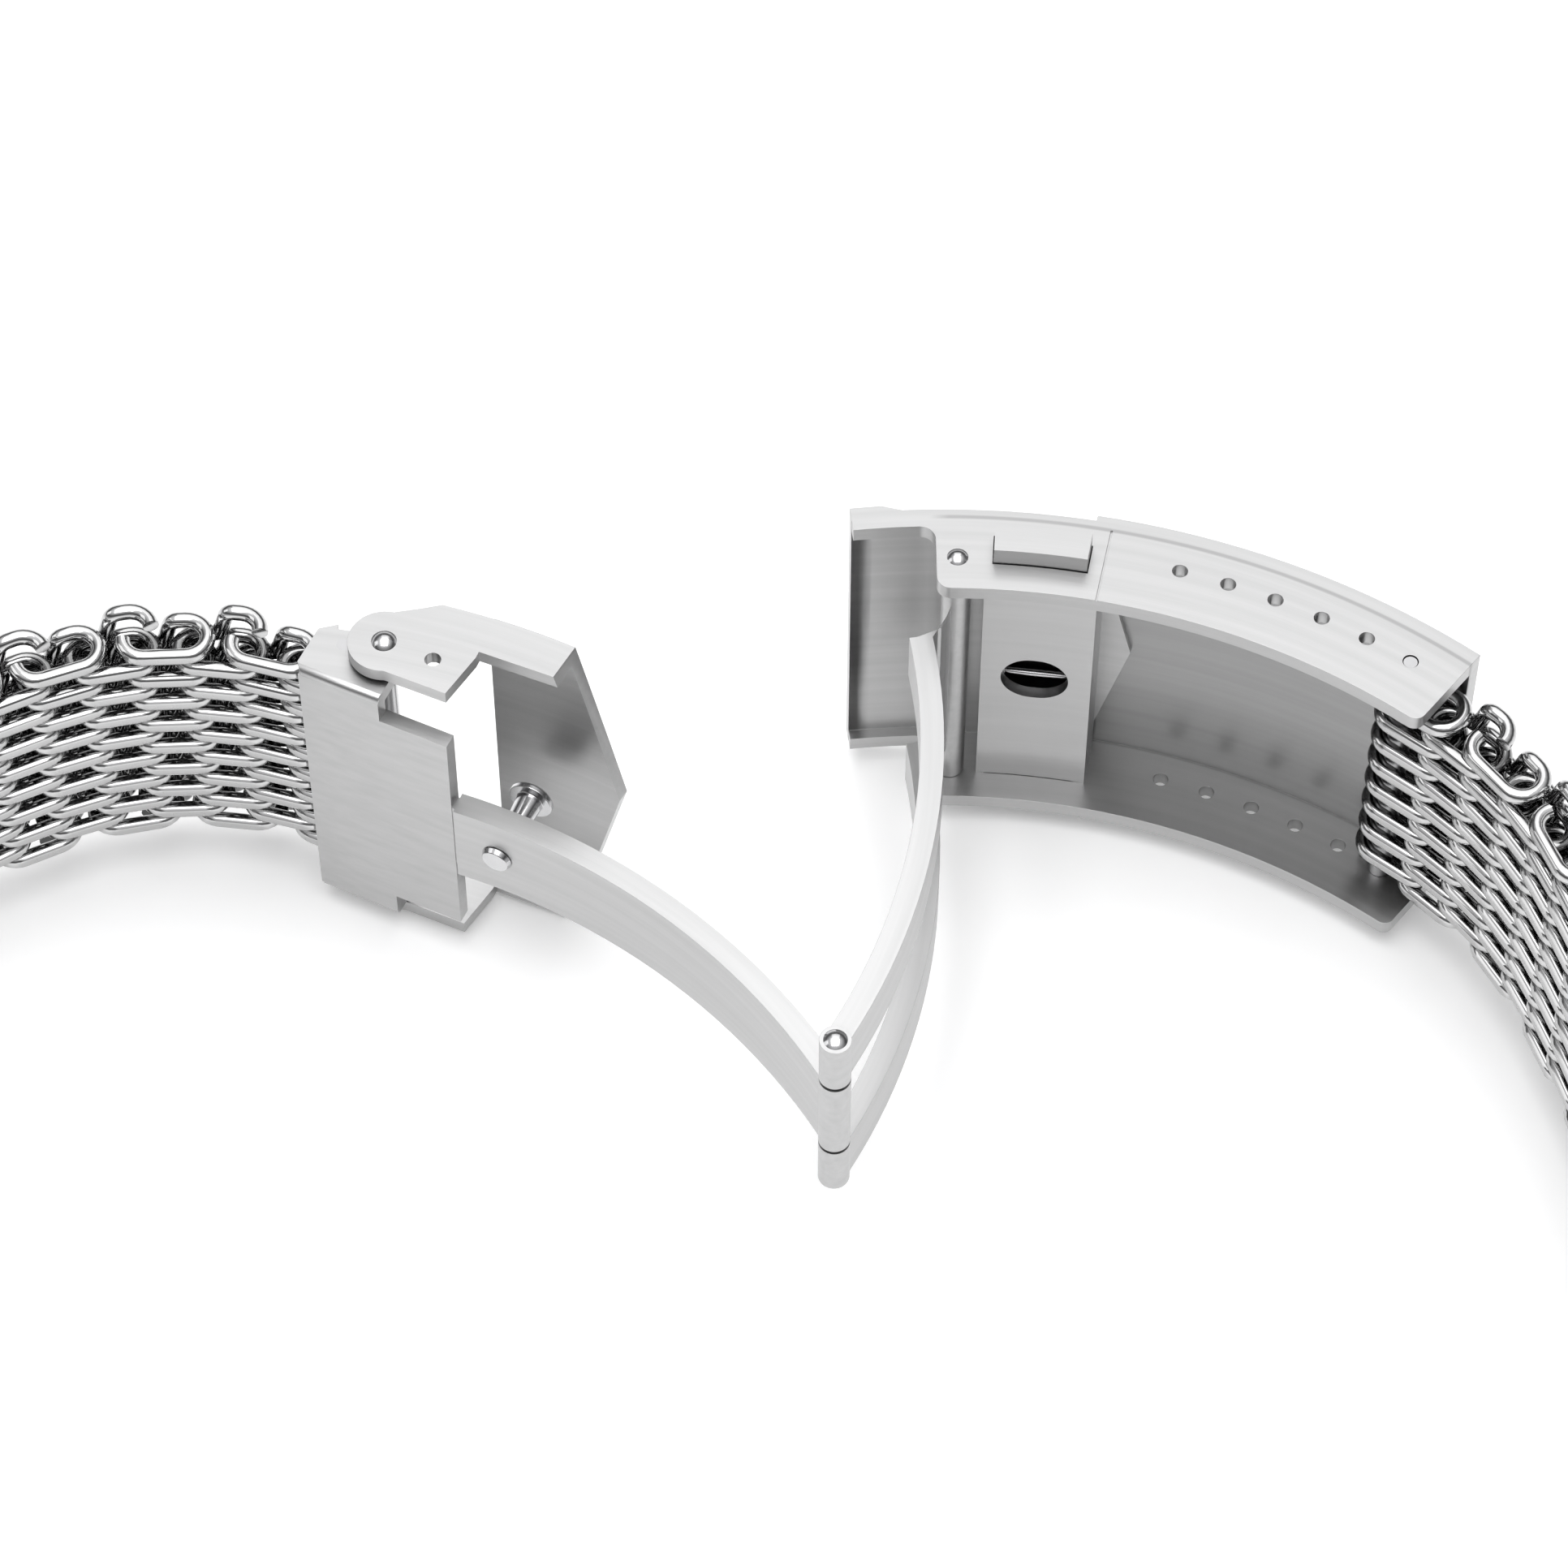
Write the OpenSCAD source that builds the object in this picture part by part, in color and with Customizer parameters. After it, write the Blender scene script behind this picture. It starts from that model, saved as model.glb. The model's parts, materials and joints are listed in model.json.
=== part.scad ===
// Shark mesh bracelet with a folding clasp, a flip lock and two push buttons.
// Millimetres, +Z up. The bracelet stands on the side edge of its clasp.
// Flat patterns are drawn with the clasp closed, about the centre of the cover's arc,
// and the folding parts are then turned about their two hinges to the open pose.

/* [Clasp cover] */
// Width of the cover over its two side walls
cover_width = 24; // [20:0.5:30]
// Outer radius of the curved cover
cover_radius = 52.65; // [45:0.05:60]
// Thickness of the curved cover sheet
cover_sheet = 1; // [0.6:0.05:1.5]
// Thickness of each side wall of the cover
side_wall = 1.1; // [0.8:0.05:1.5]
// Depth of the side walls, measured from the outer face
side_wall_depth = 6.65; // [5:0.05:8]
// Depth of the side walls left beside the end plate
notch_depth = 1.75; // [1.4:0.05:3]
// Angle of the cover's end at the strip side
cover_start = 50.7; // [48:0.1:52]
// Angle where the deep part of the side walls ends
cover_step = 90.6; // [89.9:0.1:92]
// Angle of the cover's end at the end plate
cover_end = 96.5; // [95:0.1:97]
// Depth of the V shaped recess that the flip lock lies in
recess_depth = 0.4; // [0.2:0.05:0.5]
// Diameter of the adjustment holes
adjust_hole = 1; // [0.8:0.05:1.2]
// Angle between two adjustment holes
adjust_step = 3.66; // [3:0.01:4.5]

/* [Push buttons] */
// Height of a push button above the side wall
button_height = 1.35; // [0.8:0.05:2]
// Width of a push button across the side wall
button_width = 2.1; // [1.5:0.05:2.4]

/* [Catch stud] */
// Diameter of the stud's neck
stud_neck = 1.8; // [1.4:0.1:2]
// Diameter of the stud's head
stud_head = 3; // [2.6:0.1:3.4]

/* [Folding blades] */
// Depth of the middle of both closed blades below the cover's outer face
blade_depth = 7.05; // [6.85:0.05:7.25]
// Thickness of both blades
blade_thickness = 1.5; // [1:0.05:1.6]
// Width of the outer blade
outer_blade_width = 15.6; // [12:0.1:17]
// Width of the inner blade
inner_blade_width = 7; // [5:0.1:8]
// Width of the slot in the outer blade
blade_slot_width = 7.6; // [5.6:0.1:9]
// Turn of the outer blade from closed to the open pose
outer_open_turn = 76.4; // [0:0.1:80]
// Turn of the inner blade about the fold pin, from closed to the open pose
inner_open_turn = 59.25; // [0:0.05:65]

/* [End plate] */
// Length of the end plate's front
plate_length = 10.6; // [9:0.1:12]
// Thickness of the end plate's front
plate_front = 0.9; // [0.7:0.05:1]
// Width of the narrow tongue of the end plate
tongue_width = 19.6; // [16:0.1:21]
// Length of the narrow tongue
tongue_length = 4.7; // [4:0.1:5.5]

/* [Flip lock] */
// Thickness of the lock's sheet
lock_sheet = 1; // [0.7:0.05:1.2]
// Gap between a lock arm and the side wall
lock_gap = 0.35; // [0.3:0.05:0.5]
// Diameter of the small hole in each lock arm
lock_hole = 1.04; // [0.8:0.02:1.5]

/* [Shark mesh] */
// Diameter of the mesh wire
wire_diameter = 1.05; // [0.9:0.01:1.07]
// Thickness of the mesh
mesh_thickness = 3.9; // [3.6:0.02:3.92]
// Distance from one row to the next
row_pitch = 3.45; // [3.42:0.01:3.6]
// Height of one turn of a row
turn_pitch = 2.4; // [2.3:0.01:2.42]
// Half the length of a row's turns, to the middle of the wire
half_reach = 2.7; // [2.55:0.01:2.72]

/* [Shape of the strips] */
// Direction of the first row beside the end plate
left_heading = 155.5; // [155:0.1:157]
// Bend of each of the first rows of the left strip
left_bend = 9; // [0:0.1:12]
// Bend of each further row of the left strip
left_far_bend = 5; // [0:0.1:8]
// Direction of the first row beside the cover
right_heading = -38; // [-40:0.1:-37]
// Bend of each of the first rows of the right strip
right_bend = 7.5; // [0:0.1:12]
// Bend of each further row of the right strip
right_far_bend = 2.5; // [0:0.1:8]

/* [Spring bars] */
// Outer diameter of a spring bar
bar_diameter = 1.5; // [1.2:0.02:1.54]
// Diameter of a spring bar's tips
tip_diameter = 0.88; // [0.7:0.02:0.9]
// How far a tip stands out of the bar
tip_reach = 1.05; // [0.8:0.05:1.1]

/* [Pins and fits] */
// Diameter of the hinge pins of the blades
hinge_pin = 1; // [0.8:0.05:1.1]
// Diameter of the pin that holds the mesh in the end plate
mesh_pin = 0.9; // [0.7:0.02:0.94]
// Diameter of the flip lock's pin
lock_pin = 1.2; // [1:0.05:1.4]
// Clearance around a turning pin, on the radius
turn_fit = 0.03; // [0.02:0.01:0.08]
// Clearance between the mesh wire and the pins inside it
mesh_fit = 0.03; // [0.02:0.01:0.08]
// Clearance around the push buttons
button_fit = 0.07; // [0.05:0.01:0.1]

/* [Hidden] */
half_width = cover_width / 2;
half_inside = half_width - side_wall;
lock_out = half_width + lock_gap + lock_sheet;
pin_dome = 0.3;
lock_dome = 0.4;
stand_height = lock_out + lock_dome;
shift = [7.76, 18.96];
arc_centre = [10.13, -39.34] + shift;
inner_radius = cover_radius - cover_sheet;
wall_edge = cover_radius - side_wall_depth;
notch_edge = cover_radius - notch_depth;
blade_radius = cover_radius - blade_depth;
blade_hinge = polar(cover_radius - 4.21, 89);
fold_hinge = polar(blade_radius, 46.2);
lock_hinge = polar(cover_radius - 3.15, 93.3);
lock_angle = -4.35;
plate_corner = polar(blade_radius - 0.3, 86.8);
plate_angle = 172.15;
plate_pin_along = 8.6;
plate_pin_behind = plate_front + mesh_thickness / 2 + 0.1;
plate_hinge = plate_corner + plate_pin_along * unit(plate_angle)
  + plate_pin_behind * unit(plate_angle - 90);
adjust_radius = cover_radius - 3.05;
adjust_first = 72.57;
bar_angle = adjust_first - 5 * adjust_step;
v_apex = 76;
v_back = 3;
box_start = 78.3;
box_end = 86.9;
box_front = cover_radius - 4.65;
box_wall = 0.8;
box_side = 0.53;
stud_angle = 82.7;
slider_in = cover_radius - 3.78;
box_middle = 82.6;
catch_wire_diameter = 0.44;
wire_radius = cover_radius - 3.3;
wire_level = stud_neck / 2 + catch_wire_diameter / 2 + 0.03;
head_level = wire_radius + catch_wire_diameter / 2 + 0.04;
slider_start = 78.9;
slider_end = 86.3;
button_start = 79.25;
button_in = cover_radius - 4.6;
slider_rim = half_inside - 0.05;
bar_end = half_inside - 0.05;
bend_radius = (mesh_thickness - wire_diameter) / 2;
bend_centre = half_reach - bend_radius;
slant_angle = 73.7398;
slant_half = turn_pitch * 0.7 / 4.8;
kink_radius = 0.6;
kink_reach = kink_radius * 0.75;
slant_length = turn_pitch / 0.96;
inside_half = bend_radius - wire_diameter / 2;
pin_offset = bend_centre + inside_half - mesh_pin / 2 - mesh_fit;
bar_offset = bend_centre + inside_half - bar_diameter / 2 - mesh_fit;
steel = [0.72, 0.73, 0.75];
bright = [0.8, 0.81, 0.83];
wire_steel = [0.66, 0.67, 0.69];
left_start = arc_centre + open_inner(plate_hinge);
right_start = arc_centre + polar(adjust_radius, bar_angle);

function unit(a) = [cos(a), sin(a)];
function polar(r, a) = r * unit(a);
function turned(p, a) = [p[0] * cos(a) - p[1] * sin(a), p[0] * sin(a) + p[1] * cos(a)];
function turned_about(p, c, a) = c + turned(p - c, a);
function open_outer(p) = turned_about(p, blade_hinge, -outer_open_turn);
function open_inner(p) = open_outer(turned_about(p, fold_hinge, inner_open_turn));
function left_dir(i) = i == 0 ? left_heading
  : left_dir(i - 1) + (i < 6 ? left_bend : left_far_bend);
function right_dir(i) = i == 0 ? right_heading
  : right_dir(i - 1) - (i < 5 ? right_bend : right_far_bend);
function left_centre(i) = i == 0 ? left_start + pin_offset * unit(left_dir(0))
  : left_centre(i - 1) + row_pitch / 2 * (unit(left_dir(i - 1)) + unit(left_dir(i)));
function right_centre(i) = i == 0 ? right_start + bar_offset * unit(right_dir(0))
  : right_centre(i - 1) + row_pitch / 2 * (unit(right_dir(i - 1)) + unit(right_dir(i)));
left_end = left_centre(15) + bar_offset * unit(left_dir(15));
right_end = right_centre(15) + bar_offset * unit(right_dir(15));

// Puts a piece drawn about the arc's centre into its place in the bracelet
module in_cover() {
  translate([arc_centre[0], arc_centre[1], stand_height])
    children();
}

// Turns a piece of the outer blade from closed to open
module with_outer() {
  in_cover()
    translate([blade_hinge[0], blade_hinge[1], 0])
      rotate([0, 0, -outer_open_turn])
        translate([-blade_hinge[0], -blade_hinge[1], 0])
          children();
}

// Turns a piece of the inner blade from closed to open
module with_inner() {
  with_outer()
    translate([fold_hinge[0], fold_hinge[1], 0])
      rotate([0, 0, inner_open_turn])
        translate([-fold_hinge[0], -fold_hinge[1], 0])
          children();
}

// A curved bar between two radii and two angles
module sector(r1, r2, a1, a2, z1, z2) {
  rotate([0, 0, a1])
    rotate_extrude(angle = a2 - a1, $fn = 144)
      translate([r1, z1])
        square([r2 - r1, z2 - z1]);
}

// An upright post or bore at a point
module post(p, d, z1, z2) {
  translate([p[0], p[1], z1])
    cylinder(d = d, h = z2 - z1, $fn = 36);
}

// A shallow dome on an upright pin, pointing up
module dome(p, d, h, z) {
  ball = (d * d / 4 + h * h) / (2 * h);
  intersection() {
    translate([p[0], p[1], z + h - ball])
      sphere(r = ball, $fn = 64);
    post(p, d + 1, z, z + h + 1);
  }
}

// Both sides of a piece that is the same above and below the middle
module both_sides() {
  children();
  mirror([0, 0, 1])
    children();
}

// Prism with a V shaped edge, its apex at an angle of the cover
module v_prism(apex, r1, r2, high) {
  rotate([0, 0, apex])
    translate([r1, 0, 0])
      rotate([90, 0, 90])
        linear_extrude(height = r2 - r1)
          polygon([[0, 0], [v_back * high / half_width, high], [25, high],
                   [25, -high], [v_back * high / half_width, -high]]);
}

module cover_wall() {
  difference() {
    sector(wall_edge, cover_radius - 0.01, cover_start, cover_end - 0.03, half_inside, half_width);
    difference() {
      sector(wall_edge - 1, notch_edge, cover_step, cover_end + 1, half_inside - 1, half_width + 1);
      difference() {
        sector(notch_edge - 1, notch_edge + 0.3, cover_step - 1, cover_step + 1.15,
               half_inside - 2, half_width + 2);
        post(polar(notch_edge - 1, cover_step + 1.15), 2, half_inside - 3, half_width + 3);
      }
    }
    difference() {
      sector(wall_edge - 0.5, wall_edge + 0.9, cover_step - 1.1, cover_step + 0.5,
             half_inside - 1, half_width + 1);
      post(polar(wall_edge + 0.9, cover_step - 1.1), 1.8, half_inside - 2, half_width + 2);
    }
    difference() {
      sector(wall_edge - 0.5, wall_edge + 0.7, cover_start - 0.5, cover_start + 0.86,
             half_inside - 1, half_width + 1);
      post(polar(wall_edge + 0.7, cover_start + 0.86), 1.4, half_inside - 2, half_width + 2);
    }
    for (k = [0:5])
      post(polar(adjust_radius, adjust_first - k * adjust_step), adjust_hole,
           half_inside - 1, half_width + 1);
    post(blade_hinge, hinge_pin, half_inside - 1, half_width + 1);
    sector(button_in - button_fit, button_in + button_width + button_fit,
           button_start - 0.08, slider_end + 0.08, half_inside - 1, half_width + 1);
    sector(wall_edge - 1, cover_radius - 0.5, 78.02, 78.16, half_width - 0.12, half_width + 1);
  }
}

module clasp_cover() {
  color(steel)
    in_cover()
      union() {
        difference() {
          union() {
            both_sides()
              cover_wall();
            sector(inner_radius, cover_radius, cover_start, cover_end, -half_width, half_width);
          }
          intersection() {
            sector(cover_radius - recess_depth, cover_radius + 2, v_apex - 1, cover_end + 2,
                   -half_width - 1, half_width + 1);
            v_prism(v_apex, cover_radius - 2.65, cover_radius + 3.35, half_width + 2);
          }
        }
        intersection() {
          sector(inner_radius - recess_depth, inner_radius + 0.2, v_apex - 1, cover_end - 0.3,
                 0.5 - half_width, half_width - 0.5);
          v_prism(v_apex, cover_radius - 2.65, cover_radius + 3.35, half_width + 2);
        }
      }
}

module catch_box() {
  color(steel)
    in_cover()
      difference() {
        union() {
          sector(box_front, box_front + box_wall, box_start, box_end, -half_inside, half_inside);
          sector(box_front + 0.1, inner_radius - recess_depth, box_start, box_start + box_side,
                 -half_inside, half_inside);
          sector(box_front + 0.1, inner_radius - recess_depth, box_end - box_side, box_end,
                 -half_inside, half_inside);
        }
        both_sides()
          catch_wire(wire_level);
        rotate([0, 0, stud_angle])
          translate([box_front - 1, 0, 0])
            rotate([0, 90, 0])
              union() {
                translate([0, 0.2, 0])
                  cylinder(d = 4, h = 2, $fn = 48);
                translate([0, -0.2, 0])
                  cylinder(d = 4, h = 2, $fn = 48);
                translate([-2, -0.2, 0])
                  cube([4, 0.4, 2]);
              }
      }
}

// A push button: its cap, the slider behind the box front, and an arm whose foot moves a catch wire.
// The arm stands between two angles.
module push_button(arm_from, arm_to) {
  sector(button_in, button_in + button_width, button_start, slider_end,
         half_width - 0.05, half_width + button_height);
  sector(slider_in, button_in + button_width, button_start, slider_end,
         slider_rim - 0.3, half_width + 0.2);
  sector(slider_in, slider_in + 0.75, slider_start, slider_end, 4.1, slider_rim);
  sector(slider_in, slider_in + 0.2, arm_from, arm_to, -0.85, 5);
  sector(slider_in, slider_in + 0.65, arm_from, arm_to, -0.9, -0.2);
}

module push_button_upper() {
  color(bright)
    in_cover()
      push_button(85.05, 86.2);
}

module push_button_lower() {
  color(bright)
    in_cover()
      mirror([0, 0, 1])
        push_button(79.1, 80.25);
}

// A straight spring wire across the catch box, beside the stud's neck
module catch_wire(z) {
  rotate([0, 0, box_middle])
    translate([wire_radius, 3.7, z])
      rotate([90, 0, 0])
        cylinder(d = catch_wire_diameter, h = 7.4, $fn = 36);
}

module catch_wire_upper() {
  color(bright)
    in_cover()
      catch_wire(wire_level);
}

module catch_wire_lower() {
  color(bright)
    in_cover()
      catch_wire(-wire_level);
}

// A spring drawn as rings with links between them, standing on z1
module ring_spring(p, radius, wire, z1, z2, rings) {
  step = (z2 - z1 - wire) / (rings - 1);
  for (k = [0:rings - 1])
    translate([p[0], p[1], z1 + wire / 2 + k * step])
      rotate_extrude($fn = 24)
        translate([radius, 0])
          circle(d = wire, $fn = 16);
  for (k = [0:rings - 2])
    translate([p[0] + (k % 2 == 0 ? radius : -radius), p[1], z1 + wire / 2 + k * step])
      cylinder(d = wire * 0.8, h = step, $fn = 16);
}

module outer_blade() {
  a = polar(blade_radius, 85.6);
  b = polar(blade_radius + 1.7, 86.9);
  low = blade_radius - blade_thickness / 2;
  high = blade_radius + blade_thickness / 2;
  half = outer_blade_width / 2;
  slot = blade_slot_width / 2;
  color(steel)
    with_outer()
      difference() {
        union() {
          sector(low, high, 46.2, 85.8, -half, half);
          translate([0, 0, -half])
            linear_extrude(height = outer_blade_width)
              polygon([a + 0.75 * unit(-95), b + 0.55 * unit(-35), blade_hinge + 0.55 * unit(-40),
                       blade_hinge + 0.55 * unit(140), b + 0.55 * unit(145), a + 0.75 * unit(85)]);
          post(blade_hinge, 1.9, -slider_rim, slider_rim);
          post(fold_hinge, 2, -half - 0.1, half + 0.1);
        }
        sector(low - 2, high + 0.3, 40, 87.5, -slot, slot);
        post(fold_hinge, 3.2, -slot + 0.1, slot - 0.1);
        post(fold_hinge, hinge_pin, -half - 1, half + 1);
        post(blade_hinge, hinge_pin + 2 * turn_fit, -half_width, half_width);
      }
}

module blade_pin() {
  color(bright)
    in_cover()
      union() {
        post(blade_hinge, hinge_pin, -half_width - 0.02, half_width + 0.02);
        both_sides()
          dome(blade_hinge, 1.35, pin_dome, half_width);
      }
}

module fold_pin() {
  end = outer_blade_width / 2 + 0.1;
  color(bright)
    with_outer()
      union() {
        post(fold_hinge, hinge_pin, -end - 0.02, end + 0.02);
        both_sides()
          dome(fold_hinge, 1.5, pin_dome, end);
      }
}

module end_plate_side() {
  translate([0, 0, half_inside])
    linear_extrude(height = side_wall)
      polygon([[tongue_length, 0], [plate_length - 0.5, 0], [plate_length, -0.6],
               [plate_length, -3.4], [plate_length - 1, -4.2],
               [tongue_length + 0.6, -4.9], [tongue_length, -4.4]]);
}

module end_plate() {
  low = blade_radius - blade_thickness / 2;
  high = blade_radius + blade_thickness / 2;
  half = inner_blade_width / 2;
  color(steel)
    with_inner()
      difference() {
        union() {
          sector(low, high, 46.2, 86.4, -half, half);
          post(fold_hinge, 2, -half, half);
          translate([plate_corner[0], plate_corner[1], 0])
            rotate([0, 0, plate_angle])
              union() {
                translate([-1, -0.95, 0.4 - half])
                  cube([2, 0.9, inner_blade_width - 0.8]);
                translate([0, -1, -tongue_width / 2])
                  cube([tongue_length + 1, 1, tongue_width]);
                translate([tongue_length, -plate_front, -half_width + 0.5])
                  cube([plate_length - tongue_length - 0.3, plate_front, cover_width - 1]);
                both_sides()
                  end_plate_side();
              }
        }
        sector(notch_edge - 0.15, cover_radius + 7.35, 80, 97.2, -half_width - 1, half_width + 1);
        post(fold_hinge, hinge_pin + 2 * turn_fit, -half_width, half_width);
        both_sides() {
          post(plate_hinge, mesh_pin, half_inside - 1, half_width + 1);
          post(lock_hinge, lock_pin + 2 * turn_fit, half_inside - 1, half_width + 1);
        }
        rotate([0, 0, stud_angle])
          translate([blade_radius - 5.6, 0, 0])
            rotate([0, 90, 0])
              cylinder(d = stud_neck, h = 10, $fn = 36);
      }
}

module catch_stud() {
  low = blade_radius - blade_thickness / 2;
  color(bright)
    with_inner()
      rotate([0, 0, stud_angle])
        rotate([0, 90, 0])
          union() {
            translate([0, 0, low - 0.4])
              cylinder(d1 = 2.8, d2 = 3.4, h = 0.36, $fn = 48);
            translate([0, 0, low - 0.1])
              cylinder(d = stud_neck, h = head_level - low + 0.2, $fn = 36);
            translate([0, 0, head_level])
              cylinder(d = stud_head, h = 0.35, $fn = 48);
            translate([0, 0, head_level + 0.35])
              cylinder(d1 = stud_head, d2 = stud_head - 0.9, h = 0.35, $fn = 48);
          }
}

// The outline of a lock arm, along the arm and outward from its pivot
module lock_arm() {
  difference() {
    intersection() {
      union() {
        post(lock_hinge, 4.6, lock_out - lock_sheet, lock_out);
        translate([lock_hinge[0], lock_hinge[1], lock_out - lock_sheet])
          rotate([0, 0, lock_angle])
            linear_extrude(height = lock_sheet)
              polygon([[0.3, -2.1], [5.15, -2.31], [5.83, 0.9], [5.83, 1.4], [11.2, 1.3],
                       [11.45, 4.6], [3, 4.4], [1.2, 3.2], [-0.6, 2.1]]);
      }
      post([0, 0], 2 * (cover_radius + 0.5), lock_out - lock_sheet - 1, lock_out + 1);
    }
    post(lock_hinge, lock_pin, half_inside, lock_out + 1);
    translate([lock_hinge[0], lock_hinge[1], half_inside])
      rotate([0, 0, lock_angle])
        translate([3.4, -0.2, 0])
          cylinder(d = lock_hole, h = 4, $fn = 36);
  }
}

module flip_lock() {
  color(steel)
    with_inner()
      intersection() {
        union() {
          both_sides()
            lock_arm();
          sector(cover_radius - recess_depth + 0.05, cover_radius + 0.55, v_apex, 86.6,
                 0.02 - lock_out, lock_out - 0.02);
        }
        v_prism(v_apex + 1, cover_radius - 12.65, cover_radius + 7.35, half_width + 3);
      }
}

module flip_lock_pin() {
  color(bright)
    with_inner()
      union() {
        post(lock_hinge, lock_pin, -lock_out - 0.02, lock_out + 0.02);
        both_sides()
          dome(lock_hinge, 1.6, lock_dome, lock_out);
      }
}

module plate_pin() {
  color(bright)
    with_inner()
      post(plate_hinge, mesh_pin, -half_width, half_width);
}

// A half turn or quarter turn of wire at one end of a row
module bend(side_x, from, turn, z) {
  translate([side_x, 0, z])
    rotate([0, 0, from])
      rotate_extrude(angle = turn, $fn = 48)
        translate([bend_radius, 0])
          circle(d = wire_diameter, $fn = 24);
}

// A straight piece of wire along the row
module wire_along(x1, x2, y, z) {
  translate([x1, y, z])
    rotate([0, 90, 0])
      cylinder(d = wire_diameter, h = x2 - x1, $fn = 24);
}

// A small bend at one end of a slanted piece
module kink(x, z, from) {
  translate([x, bend_radius, z])
    rotate([90, 0, 0])
      rotate([0, 0, from])
        rotate_extrude(angle = slant_angle, $fn = 48)
          translate([kink_radius, 0])
            circle(d = wire_diameter, $fn = 24);
}

// The wire on the outer face, which steps down one turn in its middle
module far_wire(z) {
  wire_along(slant_half + kink_reach, bend_centre, bend_radius, z);
  wire_along(-bend_centre, -slant_half - kink_reach, bend_radius, z - turn_pitch);
  kink(slant_half + kink_reach, z - kink_radius, 90);
  kink(-slant_half - kink_reach, z - turn_pitch + kink_radius, -90);
  translate([slant_half - kink_reach * 0.28, bend_radius, z - kink_reach * 0.96])
    rotate([0, -90 - slant_angle, 0])
      cylinder(d = wire_diameter, h = slant_length - 2 * kink_reach, $fn = 24);
}

// One row of the mesh: a flat coil of eight turns; odd and even rows mesh half a turn apart
module coil_row(odd) {
  top = turn_pitch * (odd ? 4.25 : 3.75);
  for (k = [0:7]) {
    far_wire(top - k * turn_pitch);
    wire_along(-bend_centre, bend_centre, -bend_radius, top - (odd ? k + 1 : k) * turn_pitch);
  }
  for (k = [1:7]) {
    bend(bend_centre, -90, 180, top - k * turn_pitch);
    bend(-bend_centre, 90, 180, top - k * turn_pitch);
  }
  bend(bend_centre, odd ? 0 : -90, odd ? 90 : 180, top);
  if (odd) {
    bend(bend_centre, -90, 90, top - 8 * turn_pitch);
    bend(-bend_centre, 90, 180, top - 8 * turn_pitch);
  } else {
    bend(-bend_centre, 180, 90, top);
    bend(-bend_centre, 90, 90, top - 8 * turn_pitch);
  }
}

// A row of the strip beside the end plate, counted from the clasp
module left_row(i) {
  color(wire_steel)
    translate([left_centre(i)[0], left_centre(i)[1], stand_height])
      rotate([0, 0, left_dir(i) - 180])
        coil_row(i % 2 == 0);
}

// A row of the strip beside the cover, counted from the clasp
module right_row(i) {
  color(wire_steel)
    translate([right_centre(i)[0], right_centre(i)[1], stand_height])
      rotate([0, 0, right_dir(i)])
        coil_row(i % 2 == 1);
}

module bar_barrel(p) {
  color(bright)
    translate([p[0], p[1], stand_height])
      difference() {
        cylinder(d = bar_diameter, h = 2 * bar_end, center = true, $fn = 36);
        cylinder(d = 1.28, h = 2 * bar_end - 0.6, center = true, $fn = 36);
        cylinder(d = tip_diameter + 2 * turn_fit, h = 2 * bar_end + 1, center = true, $fn = 36);
      }
}

module bar_tip() {
  post([0, 0], tip_diameter, bar_end, bar_end + tip_reach);
  post([0, 0], 0.56, bar_end - 0.45, bar_end + 0.1);
  post([0, 0], 1.22, bar_end - 6.3, bar_end - 0.35);
}

module bar_tip_upper(p) {
  color(bright)
    translate([p[0], p[1], stand_height])
      bar_tip();
}

module bar_tip_lower(p) {
  color(bright)
    translate([p[0], p[1], stand_height])
      mirror([0, 0, 1])
        bar_tip();
}

module bar_spring(p) {
  color(bright)
    translate([0, 0, stand_height])
      ring_spring(p, 0.36, 0.2, 6.3 - bar_end, bar_end - 6.3, 12);
}

module cover_bar_barrel() {
  bar_barrel(right_start);
}

module cover_bar_tip_upper() {
  bar_tip_upper(right_start);
}

module cover_bar_tip_lower() {
  bar_tip_lower(right_start);
}

module cover_bar_spring() {
  bar_spring(right_start);
}

module left_lug_bar_barrel() {
  bar_barrel(left_end);
}

module left_lug_bar_tip_upper() {
  bar_tip_upper(left_end);
}

module left_lug_bar_tip_lower() {
  bar_tip_lower(left_end);
}

module left_lug_bar_spring() {
  bar_spring(left_end);
}

module right_lug_bar_barrel() {
  bar_barrel(right_end);
}

module right_lug_bar_tip_upper() {
  bar_tip_upper(right_end);
}

module right_lug_bar_tip_lower() {
  bar_tip_lower(right_end);
}

module right_lug_bar_spring() {
  bar_spring(right_end);
}

module left_row_01() {
  left_row(0);
}

module left_row_02() {
  left_row(1);
}

module left_row_03() {
  left_row(2);
}

module left_row_04() {
  left_row(3);
}

module left_row_05() {
  left_row(4);
}

module left_row_06() {
  left_row(5);
}

module left_row_07() {
  left_row(6);
}

module left_row_08() {
  left_row(7);
}

module left_row_09() {
  left_row(8);
}

module left_row_10() {
  left_row(9);
}

module left_row_11() {
  left_row(10);
}

module left_row_12() {
  left_row(11);
}

module left_row_13() {
  left_row(12);
}

module left_row_14() {
  left_row(13);
}

module left_row_15() {
  left_row(14);
}

module left_row_16() {
  left_row(15);
}

module right_row_01() {
  right_row(0);
}

module right_row_02() {
  right_row(1);
}

module right_row_03() {
  right_row(2);
}

module right_row_04() {
  right_row(3);
}

module right_row_05() {
  right_row(4);
}

module right_row_06() {
  right_row(5);
}

module right_row_07() {
  right_row(6);
}

module right_row_08() {
  right_row(7);
}

module right_row_09() {
  right_row(8);
}

module right_row_10() {
  right_row(9);
}

module right_row_11() {
  right_row(10);
}

module right_row_12() {
  right_row(11);
}

module right_row_13() {
  right_row(12);
}

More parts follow.
